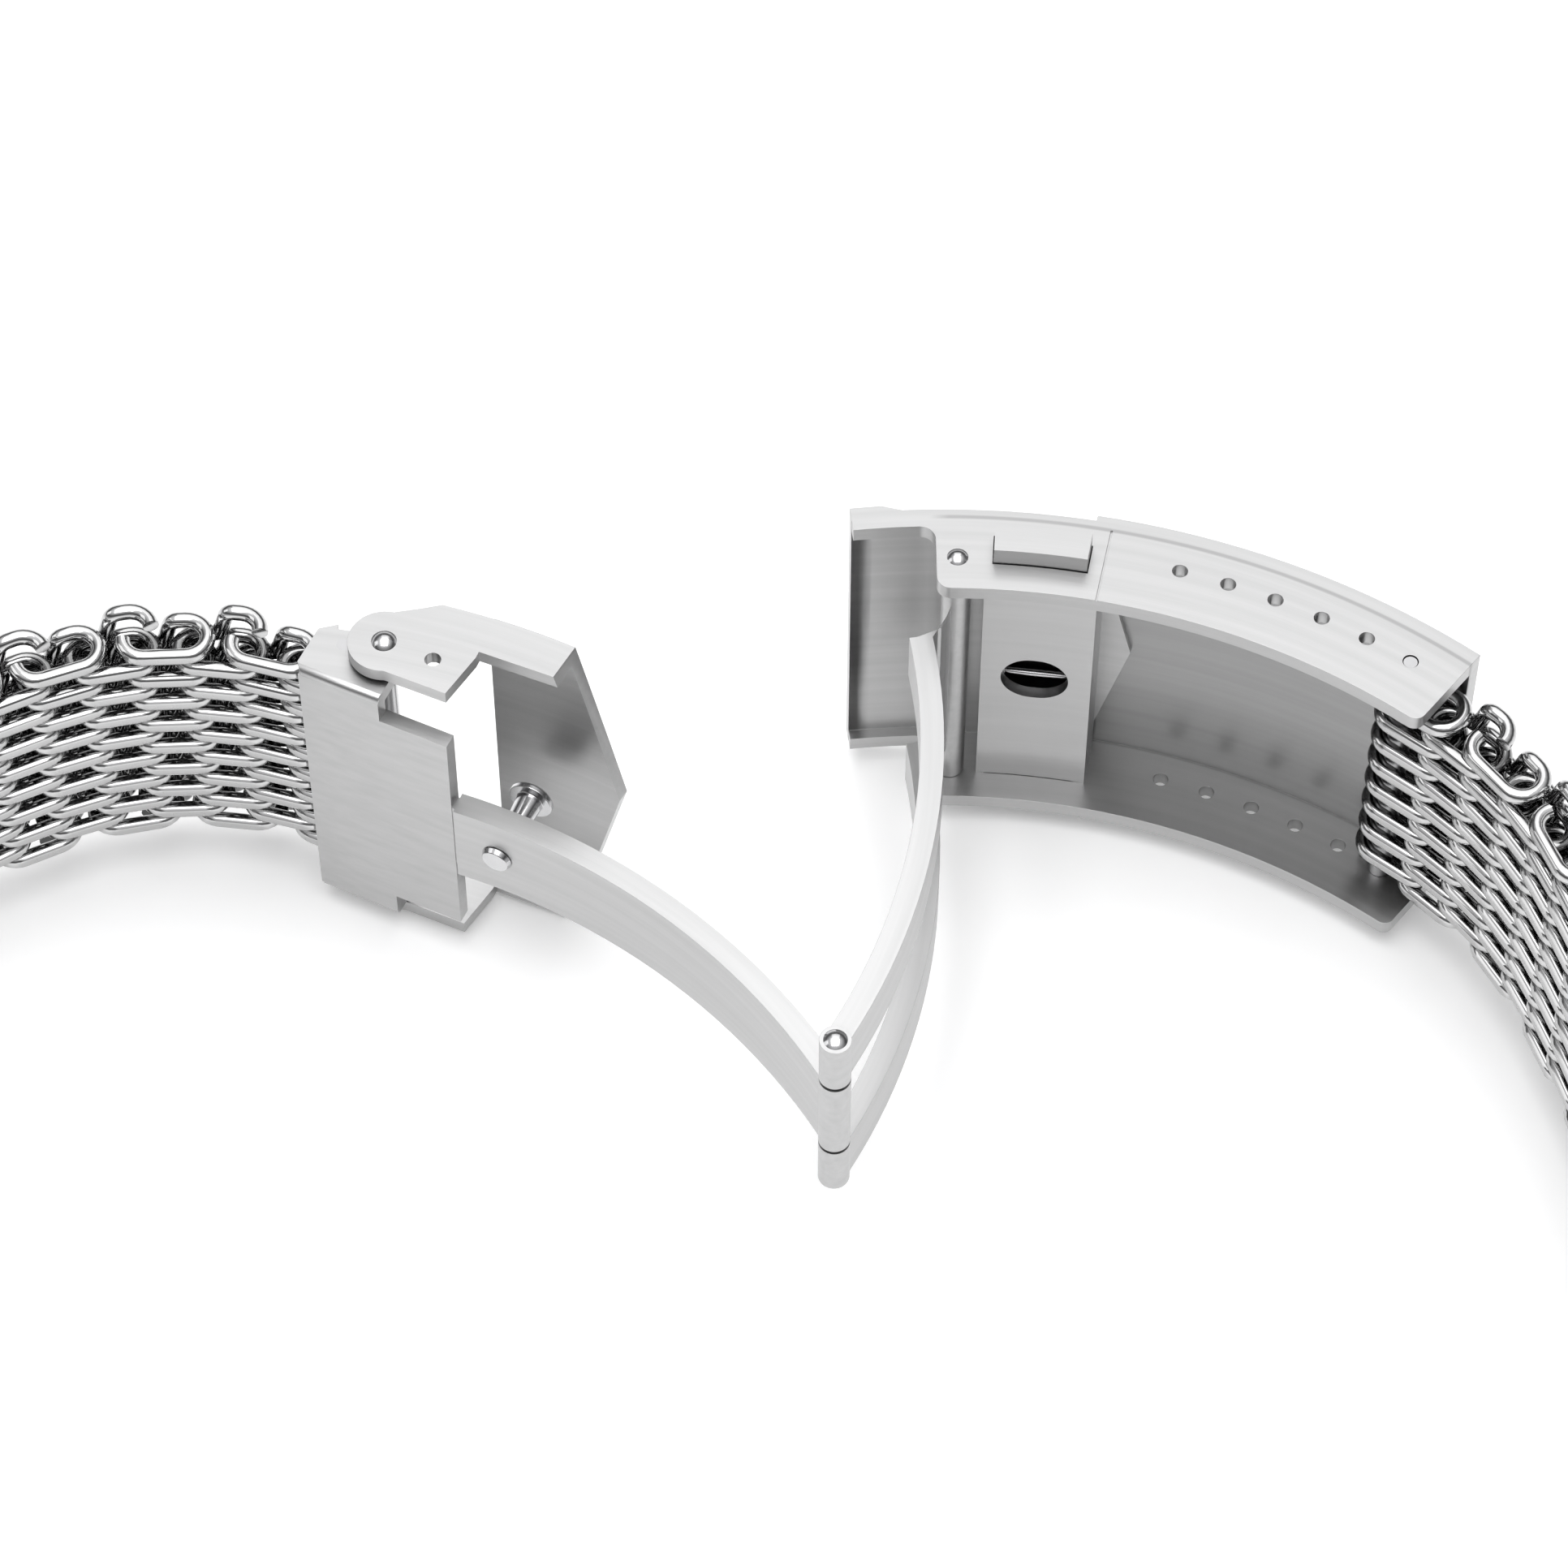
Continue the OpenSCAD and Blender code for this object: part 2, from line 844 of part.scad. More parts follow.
module right_row_14() {
  right_row(13);
}

module right_row_15() {
  right_row(14);
}

module right_row_16() {
  right_row(15);
}

clasp_cover();
catch_box();
push_button_upper();
push_button_lower();
catch_wire_upper();
catch_wire_lower();
outer_blade();
blade_pin();
fold_pin();
end_plate();
catch_stud();
flip_lock();
flip_lock_pin();
plate_pin();
cover_bar_barrel();
cover_bar_tip_upper();
cover_bar_tip_lower();
cover_bar_spring();
left_lug_bar_barrel();
left_lug_bar_tip_upper();
left_lug_bar_tip_lower();
left_lug_bar_spring();
right_lug_bar_barrel();
right_lug_bar_tip_upper();
right_lug_bar_tip_lower();
right_lug_bar_spring();
left_row_01();
left_row_02();
left_row_03();
left_row_04();
left_row_05();
left_row_06();
left_row_07();
left_row_08();
left_row_09();
left_row_10();
left_row_11();
left_row_12();
left_row_13();
left_row_14();
left_row_15();
left_row_16();
right_row_01();
right_row_02();
right_row_03();
right_row_04();
right_row_05();
right_row_06();
right_row_07();
right_row_08();
right_row_09();
right_row_10();
right_row_11();
right_row_12();
right_row_13();
right_row_14();
right_row_15();
right_row_16();
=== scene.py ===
# %% [markdown]
# # Shark mesh bracelet, standing open on its side edge
# The solids of the bracelet come from the CAD model. This lesson dresses them: the clasp's
# sheet metal gets its broken edges and brushed grain, and every row of the mesh is
# wound again as a polished wire whose faces are ground flat.

# %% Load the CAD frame
import json
import math

import bmesh
import bpy
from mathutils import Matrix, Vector

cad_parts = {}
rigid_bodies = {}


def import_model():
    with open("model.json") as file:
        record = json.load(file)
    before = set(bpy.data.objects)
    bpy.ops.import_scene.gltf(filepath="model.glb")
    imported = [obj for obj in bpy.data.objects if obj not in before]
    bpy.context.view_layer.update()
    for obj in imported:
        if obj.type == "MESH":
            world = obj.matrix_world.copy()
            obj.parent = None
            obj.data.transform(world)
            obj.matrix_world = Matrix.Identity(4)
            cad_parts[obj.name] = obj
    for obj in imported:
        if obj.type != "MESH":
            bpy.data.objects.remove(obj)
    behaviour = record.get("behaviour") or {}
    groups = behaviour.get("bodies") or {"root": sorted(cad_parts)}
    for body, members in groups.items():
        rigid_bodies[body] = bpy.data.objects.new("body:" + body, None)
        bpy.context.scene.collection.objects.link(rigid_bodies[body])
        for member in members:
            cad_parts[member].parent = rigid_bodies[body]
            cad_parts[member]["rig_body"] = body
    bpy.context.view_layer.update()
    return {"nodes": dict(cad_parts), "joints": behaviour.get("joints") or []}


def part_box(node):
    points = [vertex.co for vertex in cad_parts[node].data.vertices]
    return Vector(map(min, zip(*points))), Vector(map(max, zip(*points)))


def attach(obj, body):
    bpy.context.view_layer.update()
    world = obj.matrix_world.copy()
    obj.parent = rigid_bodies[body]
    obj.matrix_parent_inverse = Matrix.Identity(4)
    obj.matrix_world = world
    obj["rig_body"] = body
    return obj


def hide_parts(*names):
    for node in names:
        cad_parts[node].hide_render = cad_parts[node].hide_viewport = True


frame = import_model()
nodes = frame["nodes"]
joints = {j["name"]: j for j in frame["joints"]}

# %% [markdown]
# The photograph looks down on the bracelet at 55 degrees, from far away with a long lens.
# The camera is placed first, because every later choice is judged through it.

# %% Camera
MM = 0.001
MIDDLE = 13.75 * MM
PHOTO_SIZE = 1932
FOCAL_PIXELS = 7089
PITCH = 55
camera_data = bpy.data.cameras.new("camera")
camera_data.sensor_width = 36
camera_data.lens = 36 * FOCAL_PIXELS / PHOTO_SIZE
camera_data.clip_start = 0.01
camera_data.clip_end = 10
camera = bpy.data.objects.new("camera", camera_data)
camera.location = Vector((7.76, -192.24, 315.35)) * MM
camera.rotation_euler = (math.radians(90 - PITCH), 0, 0)
bpy.context.scene.collection.objects.link(camera)
bpy.context.scene.camera = camera
print("lens", round(camera_data.lens, 1), "mm")

# %% [markdown]
# Polished wire shows whatever stands round it, so the room matters as much as the lamps. This
# room is pale at the level of the table, darker higher up and bright overhead, as a studio with
# a softbox is. The dark band is what draws the black lines along each wire. Every ray sees the
# same room, so the metal reflects what the camera would see.

# %% Room
scene = bpy.context.scene
scene.view_settings.view_transform = "Standard"
ROOM = ((0.0, 0.75), (0.5, 0.92), (0.54, 0.85), (0.6, 0.2), (0.72, 0.06), (0.84, 0.5), (0.93, 1.0))


def join(tree, a, b):
    """Links an output socket to an input socket of a node tree."""
    tree.links.new(a, b)


def math_node(tree, operation, *values):
    """Makes a Math node from sockets or numbers and gives its result socket."""
    node = tree.nodes.new("ShaderNodeMath")
    node.operation = operation
    for k, v in enumerate(values):
        if isinstance(v, (int, float)):
            node.inputs[k].default_value = v
        else:
            join(tree, v, node.inputs[k])
    return node.outputs[0]


world = bpy.data.worlds.new("studio")
world.use_nodes = True
scene.world = world
room = world.node_tree
room.nodes.clear()
direction = room.nodes.new("ShaderNodeTexCoord")
axes = room.nodes.new("ShaderNodeSeparateXYZ")
ramp = room.nodes.new("ShaderNodeValToRGB")
for k, (place, level) in enumerate(ROOM):
    stops = ramp.color_ramp.elements
    stop = stops[k] if k < 2 else stops.new(place)
    stop.position = place
    stop.color = (level, level, level * 1.01, 1)
glow = room.nodes.new("ShaderNodeBackground")
glow.inputs["Strength"].default_value = 1
room_out = room.nodes.new("ShaderNodeOutputWorld")
join(room, direction.outputs["Generated"], axes.inputs[0])
join(room, math_node(room, "MULTIPLY_ADD", axes.outputs["Z"], 0.5, 0.5), ramp.inputs["Fac"])
join(room, ramp.outputs["Color"], glow.inputs["Color"])
join(room, glow.outputs[0], room_out.inputs["Surface"])
print("room stops:", len(ramp.color_ramp.elements))

# %% [markdown]
# A large lamp hangs overhead and washes the table white, so only the places close under the
# metal stay dark. A weaker one stands behind: the camera sees the upward faces of the clasp at
# its mirror angle, so they come out brightest, as in the photograph. A third, to the left,
# rounds off the wires. The table glows a little towards the camera and keeps the soft shadow.

# %% Lamps and table


def lamp(name, place, aim, size, power):
    """Adds a square soft lamp at a place in millimetres, aimed at a point."""
    data = bpy.data.lights.new(name, "AREA")
    data.size = size * MM
    data.energy = power
    obj = bpy.data.objects.new(name, data)
    obj.location = Vector(place) * MM
    toward = Vector(aim) * MM - obj.location
    obj.rotation_euler = toward.to_track_quat("-Z", "Y").to_euler()
    scene.collection.objects.link(obj)


lamp("top lamp", (0, -20, 460), (0, 0, 10), 420, 1.5)
lamp("back lamp", (20, 260, 370), (0, 0, 10), 320, 0.3)
lamp("left lamp", (-380, 40, 260), (0, 0, 10), 200, 0.16)

FLOOR_REACH = 2
corners = [(x * FLOOR_REACH, y * FLOOR_REACH, 0) for x, y in ((-1, -1), (1, -1), (1, 1), (-1, 1))]
table_mesh = bpy.data.meshes.new("table")
table_mesh.from_pydata(corners, [], [(0, 1, 2, 3)])
table = bpy.data.objects.new("table", table_mesh)
scene.collection.objects.link(table)
table_paint = bpy.data.materials.new("white table")
table_paint.use_nodes = True
tt = table_paint.node_tree
tt.nodes.clear()
matt = tt.nodes.new("ShaderNodeBsdfDiffuse")
matt.inputs["Color"].default_value = (0.9, 0.9, 0.9, 1)
shine = tt.nodes.new("ShaderNodeEmission")
shine.inputs["Strength"].default_value = 0.2
both = tt.nodes.new("ShaderNodeAddShader")
ray = tt.nodes.new("ShaderNodeLightPath")
choose = tt.nodes.new("ShaderNodeMixShader")
table_out = tt.nodes.new("ShaderNodeOutputMaterial")
seen = math_node(tt, "MAXIMUM", ray.outputs["Is Camera Ray"], ray.outputs["Is Glossy Ray"])
seen = math_node(tt, "MAXIMUM", seen, ray.outputs["Is Transmission Ray"])
join(tt, matt.outputs[0], both.inputs[0])
join(tt, shine.outputs[0], both.inputs[1])
join(tt, seen, choose.inputs["Fac"])
join(tt, matt.outputs[0], choose.inputs[1])
join(tt, both.outputs[0], choose.inputs[2])
join(tt, choose.outputs[0], table_out.inputs["Surface"])
table_mesh.materials.append(table_paint)
print("lamps and table are set")

# %% [markdown]
# Brushed steel is covered in fine parallel scratches. On this clasp they run along the curved
# sheet. The grain is a noise stretched along the arc: a node group turns object
# coordinates into the angle and radius about the arc's centre, and noise read on those
# runs round the curve. The same group serves each folding piece with its own centre.
# Its third output is 1 on a skin of a given radius to the right of the catch box, a given
# region. It is a mask for painted shade: the cover's inner skin is made darker there.

# %% Grain group
ARC_CENTRE = Vector((17.89, -20.38)) * MM


def group_socket(tree, name, way, kind="NodeSocketFloat", value=None):
    """Adds a named socket to a node group."""
    s = tree.interface.new_socket(name=name, in_out=way, socket_type=kind)
    if value is not None:
        s.default_value = value
    return s


grain = bpy.data.node_groups.new("brushed grain", "ShaderNodeTree")
group_socket(grain, "Centre X", "INPUT", value=0.0)
group_socket(grain, "Centre Y", "INPUT", value=0.0)
group_socket(grain, "Across", "INPUT", value=14000.0)
group_socket(grain, "Along", "INPUT", value=9.0)
group_socket(grain, "Skin", "INPUT", value=0.0)
group_socket(grain, "Tone", "OUTPUT")
group_socket(grain, "Fine", "OUTPUT")
group_socket(grain, "Inside", "OUTPUT")
g_in = grain.nodes.new("NodeGroupInput")
g_out = grain.nodes.new("NodeGroupOutput")
g_co = grain.nodes.new("ShaderNodeTexCoord")
g_split = grain.nodes.new("ShaderNodeSeparateXYZ")
join(grain, g_co.outputs["Object"], g_split.inputs[0])
gx = math_node(grain, "SUBTRACT", g_split.outputs["X"], g_in.outputs["Centre X"])
gy = math_node(grain, "SUBTRACT", g_split.outputs["Y"], g_in.outputs["Centre Y"])
angle = math_node(grain, "ARCTAN2", gy, gx)
radius = math_node(grain, "SQRT", math_node(grain, "ADD", math_node(grain, "MULTIPLY", gx, gx),
                                            math_node(grain, "MULTIPLY", gy, gy)))
# Mask for painted shade on the cover's inner skin, to the right of the catch box
off_skin = math_node(grain, "ABSOLUTE", math_node(grain, "SUBTRACT", radius, g_in.outputs["Skin"]))
on_skin = math_node(grain, "MULTIPLY_ADD", off_skin, -8000.0, 1.6)
beyond = math_node(grain, "MULTIPLY_ADD", g_split.outputs["X"], 800.0, -13.6)
on_skin.node.use_clamp = beyond.node.use_clamp = True
join(grain, math_node(grain, "MULTIPLY", on_skin, beyond), g_out.inputs["Inside"])
g_vec = grain.nodes.new("ShaderNodeCombineXYZ")
join(grain, math_node(grain, "MULTIPLY", angle, g_in.outputs["Along"]), g_vec.inputs[0])
join(grain, math_node(grain, "MULTIPLY", radius, g_in.outputs["Across"]), g_vec.inputs[1])
across_z = math_node(grain, "MULTIPLY", g_split.outputs["Z"], g_in.outputs["Across"])
join(grain, across_z, g_vec.inputs[2])
g_noise = grain.nodes.new("ShaderNodeTexNoise")
g_noise.inputs["Scale"].default_value = 1
g_noise.inputs["Detail"].default_value = 3
join(grain, g_vec.outputs[0], g_noise.inputs["Vector"])
g_wide = grain.nodes.new("ShaderNodeTexNoise")
g_wide.inputs["Scale"].default_value = 0.12
g_wide.inputs["Detail"].default_value = 2
join(grain, g_vec.outputs[0], g_wide.inputs["Vector"])
join(grain, g_wide.outputs["Fac"], g_out.inputs["Tone"])
join(grain, g_noise.outputs["Fac"], g_out.inputs["Fine"])
print("grain group sockets:", len(grain.interface.items_tree))

# %% Brushed and polished steels


def map_range(tree, value, low, high):
    """Spreads a 0 to 1 value between two numbers."""
    node = tree.nodes.new("ShaderNodeMapRange")
    node.inputs["To Min"].default_value = low
    node.inputs["To Max"].default_value = high
    join(tree, value, node.inputs["Value"])
    return node.outputs["Result"]


def tone_ramp(tree, value, dark, light):
    """Turns a 0 to 1 value into a grey between two levels."""
    node = tree.nodes.new("ShaderNodeValToRGB")
    node.color_ramp.elements[0].position = 0.3
    node.color_ramp.elements[0].color = (dark, dark, dark * 1.012, 1)
    node.color_ramp.elements[1].position = 0.7
    node.color_ramp.elements[1].color = (light, light, light * 1.012, 1)
    join(tree, value, node.inputs["Fac"])
    return node.outputs["Color"]


def brushed_steel(name, centre, dark=0.41, light=0.51, rough=(0.3, 0.4), bump=0.1, skin=0.0):
    """Steel with a grain that runs round a centre, with painted shade on an inner skin of a given
    radius.
    """
    paint = bpy.data.materials.new(name)
    paint.use_nodes = True
    t = paint.node_tree
    shader = t.nodes["Principled BSDF"]
    shader.inputs["Metallic"].default_value = 1
    g = t.nodes.new("ShaderNodeGroup")
    g.node_tree = grain
    g.inputs["Centre X"].default_value = centre.x
    g.inputs["Centre Y"].default_value = centre.y
    g.inputs["Across"].default_value = 14000.0
    g.inputs["Along"].default_value = 16.0
    g.inputs["Skin"].default_value = skin
    # Painted shade: the base colour is up to 28 percent darker on the inner skin
    inner_painted_shade = math_node(t, "MULTIPLY_ADD", g.outputs["Inside"], -0.28, 1.0)
    tone = math_node(t, "MULTIPLY", map_range(t, g.outputs["Tone"], dark, light), inner_painted_shade)
    join(t, tone, shader.inputs["Base Color"])
    join(t, map_range(t, g.outputs["Fine"], *rough), shader.inputs["Roughness"])
    b = t.nodes.new("ShaderNodeBump")
    b.inputs["Strength"].default_value = bump
    b.inputs["Distance"].default_value = 0.00003
    join(t, g.outputs["Fine"], b.inputs["Height"])
    join(t, b.outputs["Normal"], shader.inputs["Normal"])
    return paint


def polished_steel(name, grey=0.7, rough=(0.12, 0.22), scale=900):
    """Smooth steel with faint handling marks."""
    paint = bpy.data.materials.new(name)
    paint.use_nodes = True
    t = paint.node_tree
    shader = t.nodes["Principled BSDF"]
    shader.inputs["Metallic"].default_value = 1
    co = t.nodes.new("ShaderNodeTexCoord")
    n = t.nodes.new("ShaderNodeTexNoise")
    n.inputs["Scale"].default_value = scale
    n.inputs["Detail"].default_value = 4
    join(t, co.outputs["Object"], n.inputs["Vector"])
    join(t, tone_ramp(t, n.outputs["Fac"], grey * 0.92, grey), shader.inputs["Base Color"])
    join(t, map_range(t, n.outputs["Fac"], *rough), shader.inputs["Roughness"])
    return paint


def turned_about(p, centre, degrees):
    """A point turned about another in the plane."""
    c, s = math.cos(math.radians(degrees)), math.sin(math.radians(degrees))
    d = p - centre
    return centre + Vector((c * d.x - s * d.y, s * d.x + c * d.y))


fold_at = Vector(joints["fold"]["pos_m"][:2])
knuckle_at = Vector(joints["knuckle"]["pos_m"][:2])
OUTER_TURN = -joints["fold"]["range_deg"][1]
INNER_TURN = -joints["knuckle"]["range_deg"][0]
outer_centre = turned_about(ARC_CENTRE, fold_at, OUTER_TURN)
inner_centre = turned_about(outer_centre, knuckle_at, INNER_TURN)
centres = (ARC_CENTRE, outer_centre, inner_centre)
print("arc centres:", [tuple(round(v * 1000, 1) for v in c) for c in centres])
COVER_INNER_RADIUS = 0.05165
cover_steel = brushed_steel("brushed cover", ARC_CENTRE, skin=COVER_INNER_RADIUS)
outer_steel = brushed_steel("brushed outer blade", outer_centre)
inner_steel = brushed_steel("brushed inner blade", inner_centre)
fitting_steel = polished_steel("polished fittings", 0.6)
box_steel = brushed_steel("brushed box", ARC_CENTRE, 0.45, 0.51)
button_steel = brushed_steel("brushed buttons", ARC_CENTRE, 0.44, 0.5)
bar_steel = polished_steel("satin bars", 0.46, (0.26, 0.34))

# %% [markdown]
# A CAD node is a shell of loose triangles with knife edges. Real stamped sheet has edges broken
# by tumbling, and these catch the light. A dressed copy has its triangles welded, flat regions
# joined, and a small bevel on every sharp edge. The end plate's long folds get a wider round.
# Each border between a bevel and a flat face is kept sharp, so that flat faces shade flat.

# %% Dress the clasp's pieces
SHARP_TURN = math.radians(28)
BEND_SEGMENTS = 5
BREAK_SEGMENTS = 3
WELD = 2e-6
PLATE_BEND = 0.7


def is_bend(edge):
    """Is this edge where a sheet is folded over, long and level, at the top or the bottom?"""
    a, b = (v.co for v in edge.verts)
    long_and_level = (a - b).length > 5 * MM and abs(a.z - b.z) < 0.2 * MM
    far_out = min(abs(a.z - MIDDLE), abs(b.z - MIDDLE)) > 9 * MM
    return long_and_level and far_out and min(f.normal.y for f in edge.link_faces) < -0.5


def hard_edges(bm, done):
    """Edges that turn by more than 28 degrees and aren't part of a bend already made."""
    return [e for e in bm.edges if len(e.link_faces) == 2 and e.calc_face_angle(0) > SHARP_TURN
            and not all(f[done] for f in e.link_faces)]


def break_edges(bm, edges, width, segments, done):
    """Rounds some edges over and marks the new faces."""
    made = bmesh.ops.bevel(bm, geom=edges, offset=width * MM, offset_type="OFFSET", profile=0.5,
                           segments=segments, affect="EDGES", clamp_overlap=True)["faces"]
    for f in made:
        f[done] = 1


def dressed(node, paint, bevel, bend=0):
    """A welded, bevelled copy of a CAD node with its own finish."""
    mesh = nodes[node].data.copy()
    mesh.name = node + " dressed"
    bm = bmesh.new()
    bm.from_mesh(mesh)
    bmesh.ops.remove_doubles(bm, verts=bm.verts, dist=WELD)
    bmesh.ops.dissolve_limit(bm, angle_limit=math.radians(0.5), verts=bm.verts, edges=bm.edges)
    done = bm.faces.layers.int.new("broken edge")
    bends = [e for e in hard_edges(bm, done) if bend and is_bend(e)]
    if bends:
        break_edges(bm, bends, bend, BEND_SEGMENTS, done)
    break_edges(bm, hard_edges(bm, done), bevel, BREAK_SEGMENTS, done)
    for f in bm.faces:
        f.smooth = True
    for e in bm.edges:
        e.smooth = len({f[done] for f in e.link_faces}) == 1
    bm.to_mesh(mesh)
    bm.free()
    mesh.materials.clear()
    mesh.materials.append(paint)
    obj = bpy.data.objects.new(node + "_dressed", mesh)
    scene.collection.objects.link(obj)
    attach(obj, nodes[node]["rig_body"])
    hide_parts(node)
    return obj


def narrow_foot(mesh, share):
    """Draws in the foot of the stud to the small rivet head that shows on the wrist side."""
    low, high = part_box("catch_stud")
    centre = (low + high) / 2
    out = Vector((centre.x - inner_centre.x, centre.y - inner_centre.y, 0)).normalized()
    lowest = min((v.co - centre).dot(out) for v in mesh.vertices)
    for v in mesh.vertices:
        along = (v.co - centre).dot(out)
        if along < lowest + 0.5 * MM:
            axis = centre + out * along
            v.co = axis + (v.co - axis) * share


finish = {
    "clasp_cover": (cover_steel, 0.14), "catch_box": (box_steel, 0.12),
    "outer_blade": (outer_steel, 0.1), "end_plate": (inner_steel, 0.12),
    "flip_lock": (inner_steel, 0.12), "push_button_upper": (button_steel, 0.2),
    "push_button_lower": (button_steel, 0.2), "catch_stud": (fitting_steel, 0.06),
}
for node, (paint, bevel) in finish.items():
    piece = dressed(node, paint, bevel, PLATE_BEND if node == "end_plate" else 0)
    print(node, len(piece.data.polygons), "faces")
    if node == "catch_stud":
        narrow_foot(piece.data, 0.62)
for node in nodes:
    if node not in finish and "_row_" not in node:
        data = nodes[node].data
        data.materials.clear()
        data.materials.append(bar_steel if "bar" in node or node == "plate_pin" else fitting_steel)

# %% [markdown]
# Shark mesh is a stack of flat coils, each hooked into the next. After weaving, both faces are
# ground flat and the whole strip is polished, so every turn shows a flat grey facet between two
# bright round shoulders. Geometry Nodes wind one row: a wire curve swept with a round
# profile, then pressed between two planes.

# %% Wire path of one row
WIRE = 1.05
THICK = 3.9
PITCH_TURN = 2.4
ROW_PITCH = 3.45
BEND = (THICK - WIRE) / 2
SIDE = 2.7 - BEND
KINK = 0.6
SLANT = math.radians(73.7398)
HALF = 0.35


def row_path(odd):
    """Points of a row's wire, in millimetres: X along the strip, -Y towards the wrist, Z up."""
    top = PITCH_TURN * (4.25 if odd else 3.75)
    points = []

    def bend(side, start, stop, z):
        steps = max(3, int(abs(stop - start) / 12))
        for k in range(steps + 1):
            a = math.radians(start + (stop - start) * k / steps)
            points.append((side * SIDE + BEND * math.cos(a), BEND * math.sin(a), z))

    def far(z):
        reach = HALF + KINK * math.tan(SLANT / 2)
        for k in range(5):
            a = math.pi / 2 + SLANT * k / 4
            points.append((reach + KINK * math.cos(a), BEND, z - KINK + KINK * math.sin(a)))
        low = z - PITCH_TURN + KINK
        for k in range(5):
            a = -math.pi / 2 + SLANT * (1 - k / 4)
            points.append((-reach + KINK * math.cos(a), BEND, low + KINK * math.sin(a)))

    for k in range(8):
        z = top - PITCH_TURN * k
        if odd:
            bend(1, 0 if k == 0 else -90, 90, z)
            far(z)
            bend(-1, 90, 270, z - PITCH_TURN)
        else:
            bend(-1, 180 if k == 0 else 90, 270, z)
            bend(1, -90, 90, z)
            far(z)
    bend(1 if odd else -1, -90 if odd else 90, 0 if odd else 180, top - 8 * PITCH_TURN)
    clean = [points[0]]
    for p in points[1:]:
        if (Vector(p) - Vector(clean[-1])).length > 0.02:
            clean.append(p)
    return clean


print("points in a row:", len(row_path(True)), len(row_path(False)))

# %% Geometry Nodes tree that winds a row
wire_tree = bpy.data.node_groups.new("wind a row", "GeometryNodeTree")
group_socket(wire_tree, "Geometry", "INPUT", "NodeSocketGeometry")
group_socket(wire_tree, "Wire Radius", "INPUT", value=WIRE / 2 * MM)
group_socket(wire_tree, "Face Level", "INPUT", value=THICK / 2 * MM)
group_socket(wire_tree, "Turn", "INPUT", value=0.0)
group_socket(wire_tree, "Place", "INPUT", "NodeSocketVector")
group_socket(wire_tree, "Finish", "INPUT", "NodeSocketMaterial")
group_socket(wire_tree, "Geometry", "OUTPUT", "NodeSocketGeometry")


def geo(kind):
    """Adds a node to the row's tree."""
    return wire_tree.nodes.new(kind)


w_in, w_out = geo("NodeGroupInput"), geo("NodeGroupOutput")
to_curve = geo("GeometryNodeMeshToCurve")
profile = geo("GeometryNodeCurvePrimitiveCircle")
profile.inputs["Resolution"].default_value = 18
sweep = geo("GeometryNodeCurveToMesh")
sweep.inputs["Fill Caps"].default_value = True
place_in = geo("GeometryNodeInputPosition")
parts = geo("ShaderNodeSeparateXYZ")
flat_y = math_node(wire_tree, "MINIMUM", parts.outputs["Y"], w_in.outputs["Face Level"])
low_level = math_node(wire_tree, "MULTIPLY", w_in.outputs["Face Level"], -1.0)
flat_y = math_node(wire_tree, "MAXIMUM", flat_y, low_level)
whole = geo("ShaderNodeCombineXYZ")
press = geo("GeometryNodeSetPosition")
mark = geo("GeometryNodeStoreNamedAttribute")
mark.data_type = "FLOAT"
mark.domain = "POINT"
mark.inputs["Name"].default_value = "ground"
over = math_node(wire_tree, "ABSOLUTE", parts.outputs["Y"])
just_under = math_node(wire_tree, "SUBTRACT", w_in.outputs["Face Level"], 1e-6)
is_flat = math_node(wire_tree, "GREATER_THAN", over, just_under)
# Points sunk below the ground faces are stored as deep, a mask for painted shade inside the mesh
inward = math_node(wire_tree, "SUBTRACT", w_in.outputs["Face Level"], over)
sunk = math_node(wire_tree, "MULTIPLY_ADD", inward, 1000.0, -0.25)
below = math_node(wire_tree, "MULTIPLY_ADD", parts.outputs["Z"], -1000.0, 9.0)
sunk.node.use_clamp = below.node.use_clamp = True
deep = geo("GeometryNodeStoreNamedAttribute")
deep.data_type = "FLOAT"
deep.domain = "POINT"
deep.inputs["Name"].default_value = "deep"
smooth = geo("GeometryNodeSetShadeSmooth")
move = geo("GeometryNodeTransform")
real = geo("GeometryNodeRealizeInstances")
coat = geo("GeometryNodeSetMaterial")
turn = geo("ShaderNodeCombineXYZ")
for a, b in ((w_in.outputs["Geometry"], to_curve.inputs["Mesh"]),
             (to_curve.outputs["Curve"], sweep.inputs["Curve"]),
             (w_in.outputs["Wire Radius"], profile.inputs["Radius"]),
             (profile.outputs["Curve"], sweep.inputs["Profile Curve"]),
             (place_in.outputs[0], parts.inputs[0]),
             (sweep.outputs["Mesh"], mark.inputs["Geometry"]),
             (is_flat, mark.inputs["Value"]),
             (mark.outputs["Geometry"], deep.inputs["Geometry"]),
             (math_node(wire_tree, "MULTIPLY", sunk, below), deep.inputs["Value"]),
             (deep.outputs["Geometry"], press.inputs["Geometry"]),
             (parts.outputs["X"], whole.inputs[0]), (flat_y, whole.inputs[1]),
             (parts.outputs["Z"], whole.inputs[2]),
             (whole.outputs[0], press.inputs["Position"]),
             (press.outputs["Geometry"], smooth.inputs["Geometry"]),
             (smooth.outputs["Geometry"], move.inputs["Geometry"]),
             (w_in.outputs["Turn"], turn.inputs[2]),
             (turn.outputs[0], move.inputs["Rotation"]),
             (w_in.outputs["Place"], move.inputs["Translation"]),
             (move.outputs["Geometry"], real.inputs["Geometry"]),
             (real.outputs["Geometry"], coat.inputs["Geometry"]),
             (w_in.outputs["Finish"], coat.inputs["Material"]),
             (coat.outputs["Geometry"], w_out.inputs["Geometry"])):
    join(wire_tree, a, b)
sockets = {i.name: i.identifier for i in wire_tree.interface.items_tree
           if i.item_type == "SOCKET" and i.in_out == "INPUT"}
print("inputs of the row tree:", sorted(sockets))

